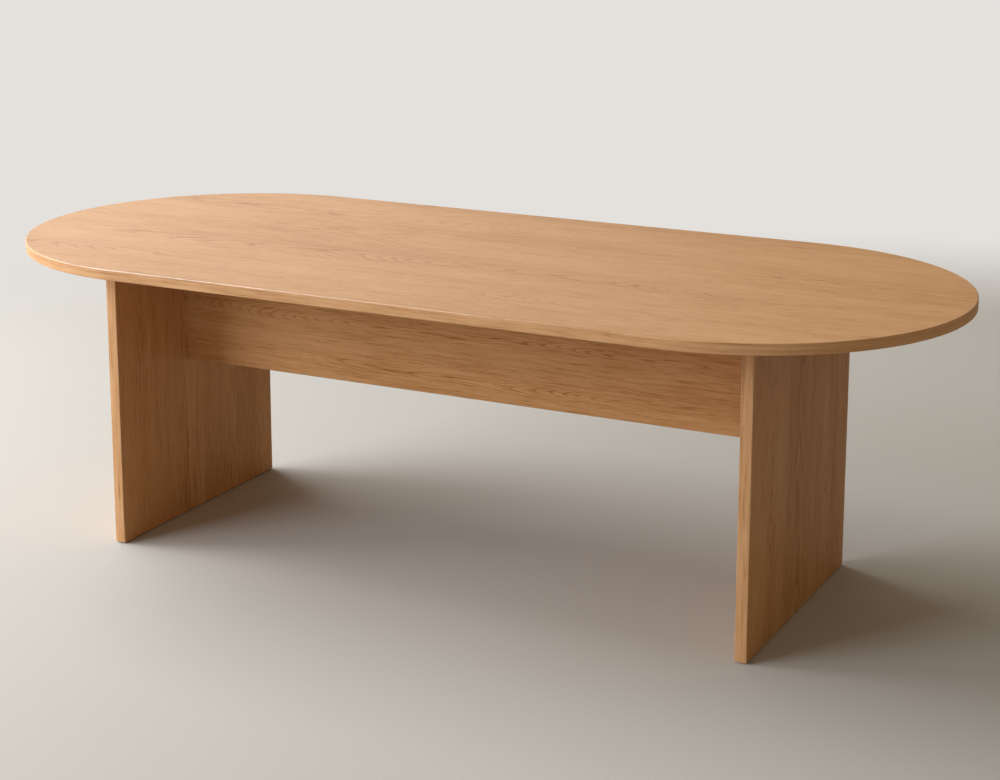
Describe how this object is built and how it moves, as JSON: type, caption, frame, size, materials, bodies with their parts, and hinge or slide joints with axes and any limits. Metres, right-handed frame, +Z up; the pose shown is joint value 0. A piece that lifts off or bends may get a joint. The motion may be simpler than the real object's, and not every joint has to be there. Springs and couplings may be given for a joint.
{
  "type": "conference table",
  "caption": "Racetrack conference table: a thin round-ended top on slab legs set in from its ends, joined by a stretcher panel, standing on screw-adjusted levelling feet.",
  "frame": {"origin": "on the floor under the middle of the top", "axes": "+X along the table's length, +Y to its back, +Z up"},
  "size_m": [2.4, 1.04, 0.75],
  "materials": {
    "oak_board": "satin oak-effect laminate on chipboard",
    "oak_band": "satin oak-effect edge band with rounded arrises",
    "beech": "raw fluted beech",
    "zinc_plated_steel": "bright zinc plate",
    "zinc_alloy": "die-cast zinc alloy",
    "foot_nylon": "moulded",
    "cap_plastic": "moulded, oak coloured"
  },
  "bodies": {
    "table": {"top_board": "oak_board", "top_edge_band": "oak_band", "left_leg_board": "oak_board", "left_leg_front_band": "oak_band", "left_leg_back_band": "oak_band", "right_leg_board": "oak_board", "right_leg_front_band": "oak_band", "right_leg_back_band": "oak_band", "stretcher_board": "oak_board", "stretcher_bottom_band": "oak_band", "left_front_foot_insert": "zinc_plated_steel", "left_back_foot_insert": "zinc_plated_steel", "left_lower_cam": "zinc_alloy", "left_lower_cam_bolt": "zinc_plated_steel", "left_lower_cam_cap": "cap_plastic", "left_lower_dowel": "beech", "left_upper_cam": "zinc_alloy", "left_upper_cam_bolt": "zinc_plated_steel", "left_upper_cam_cap": "cap_plastic", "left_upper_dowel": "beech", "right_front_foot_insert": "zinc_plated_steel", "right_back_foot_insert": "zinc_plated_steel", "right_lower_cam": "zinc_alloy", "right_lower_cam_bolt": "zinc_plated_steel", "right_lower_cam_cap": "cap_plastic", "right_lower_dowel": "beech", "right_upper_cam": "zinc_alloy", "right_upper_cam_bolt": "zinc_plated_steel", "right_upper_cam_cap": "cap_plastic", "right_upper_dowel": "beech", "left_front_bracket": "zinc_plated_steel", "left_front_bracket_top_screw": "zinc_plated_steel", "left_front_bracket_panel_screw": "zinc_plated_steel", "left_back_bracket": "zinc_plated_steel", "left_back_bracket_top_screw": "zinc_plated_steel", "left_back_bracket_panel_screw": "zinc_plated_steel", "right_front_bracket": "zinc_plated_steel", "right_front_bracket_top_screw": "zinc_plated_steel", "right_front_bracket_panel_screw": "zinc_plated_steel", "right_back_bracket": "zinc_plated_steel", "right_back_bracket_top_screw": "zinc_plated_steel", "right_back_bracket_panel_screw": "zinc_plated_steel", "stretcher_left_bracket": "zinc_plated_steel", "stretcher_left_bracket_top_screw": "zinc_plated_steel", "stretcher_left_bracket_panel_screw": "zinc_plated_steel", "stretcher_right_bracket": "zinc_plated_steel", "stretcher_right_bracket_top_screw": "zinc_plated_steel", "stretcher_right_bracket_panel_screw": "zinc_plated_steel"},
    "left_front_pad": {"left_front_foot_pad": "foot_nylon"},
    "left_front_stem": {"left_front_foot_stem": "zinc_plated_steel"},
    "left_back_pad": {"left_back_foot_pad": "foot_nylon"},
    "left_back_stem": {"left_back_foot_stem": "zinc_plated_steel"},
    "right_front_pad": {"right_front_foot_pad": "foot_nylon"},
    "right_front_stem": {"right_front_foot_stem": "zinc_plated_steel"},
    "right_back_pad": {"right_back_foot_pad": "foot_nylon"},
    "right_back_stem": {"right_back_foot_stem": "zinc_plated_steel"}
  },
  "joints": [
    {"name": "left_front_foot_travel", "type": "slide", "parent": "table", "child": "left_front_pad", "axis": [0, 0, -1], "range_m": [0, 0.012]},
    {"name": "left_front_stem_turn", "type": "hinge", "parent": "left_front_pad", "child": "left_front_stem", "pos_m": [-0.821, -0.285, 0.02], "axis": [0, 0, -1], "range_deg": [0, 3460]},
    {"name": "left_back_foot_travel", "type": "slide", "parent": "table", "child": "left_back_pad", "axis": [0, 0, -1], "range_m": [0, 0.012]},
    {"name": "left_back_stem_turn", "type": "hinge", "parent": "left_back_pad", "child": "left_back_stem", "pos_m": [-0.821, 0.285, 0.02], "axis": [0, 0, -1], "range_deg": [0, 3460]},
    {"name": "right_front_foot_travel", "type": "slide", "parent": "table", "child": "right_front_pad", "axis": [0, 0, -1], "range_m": [0, 0.012]},
    {"name": "right_front_stem_turn", "type": "hinge", "parent": "right_front_pad", "child": "right_front_stem", "pos_m": [0.821, -0.285, 0.02], "axis": [0, 0, -1], "range_deg": [0, 3460]},
    {"name": "right_back_foot_travel", "type": "slide", "parent": "table", "child": "right_back_pad", "axis": [0, 0, -1], "range_m": [0, 0.012]},
    {"name": "right_back_stem_turn", "type": "hinge", "parent": "right_back_pad", "child": "right_back_stem", "pos_m": [0.821, 0.285, 0.02], "axis": [0, 0, -1], "range_deg": [0, 3460]}
  ],
  "couplings": [
    {"joint": "left_front_stem_turn", "follows": "left_front_foot_travel", "rad_per_m": 5026.5},
    {"joint": "left_back_stem_turn", "follows": "left_back_foot_travel", "rad_per_m": 5026.5},
    {"joint": "right_front_stem_turn", "follows": "right_front_foot_travel", "rad_per_m": 5026.5},
    {"joint": "right_back_stem_turn", "follows": "right_back_foot_travel", "rad_per_m": 5026.5}
  ]
}
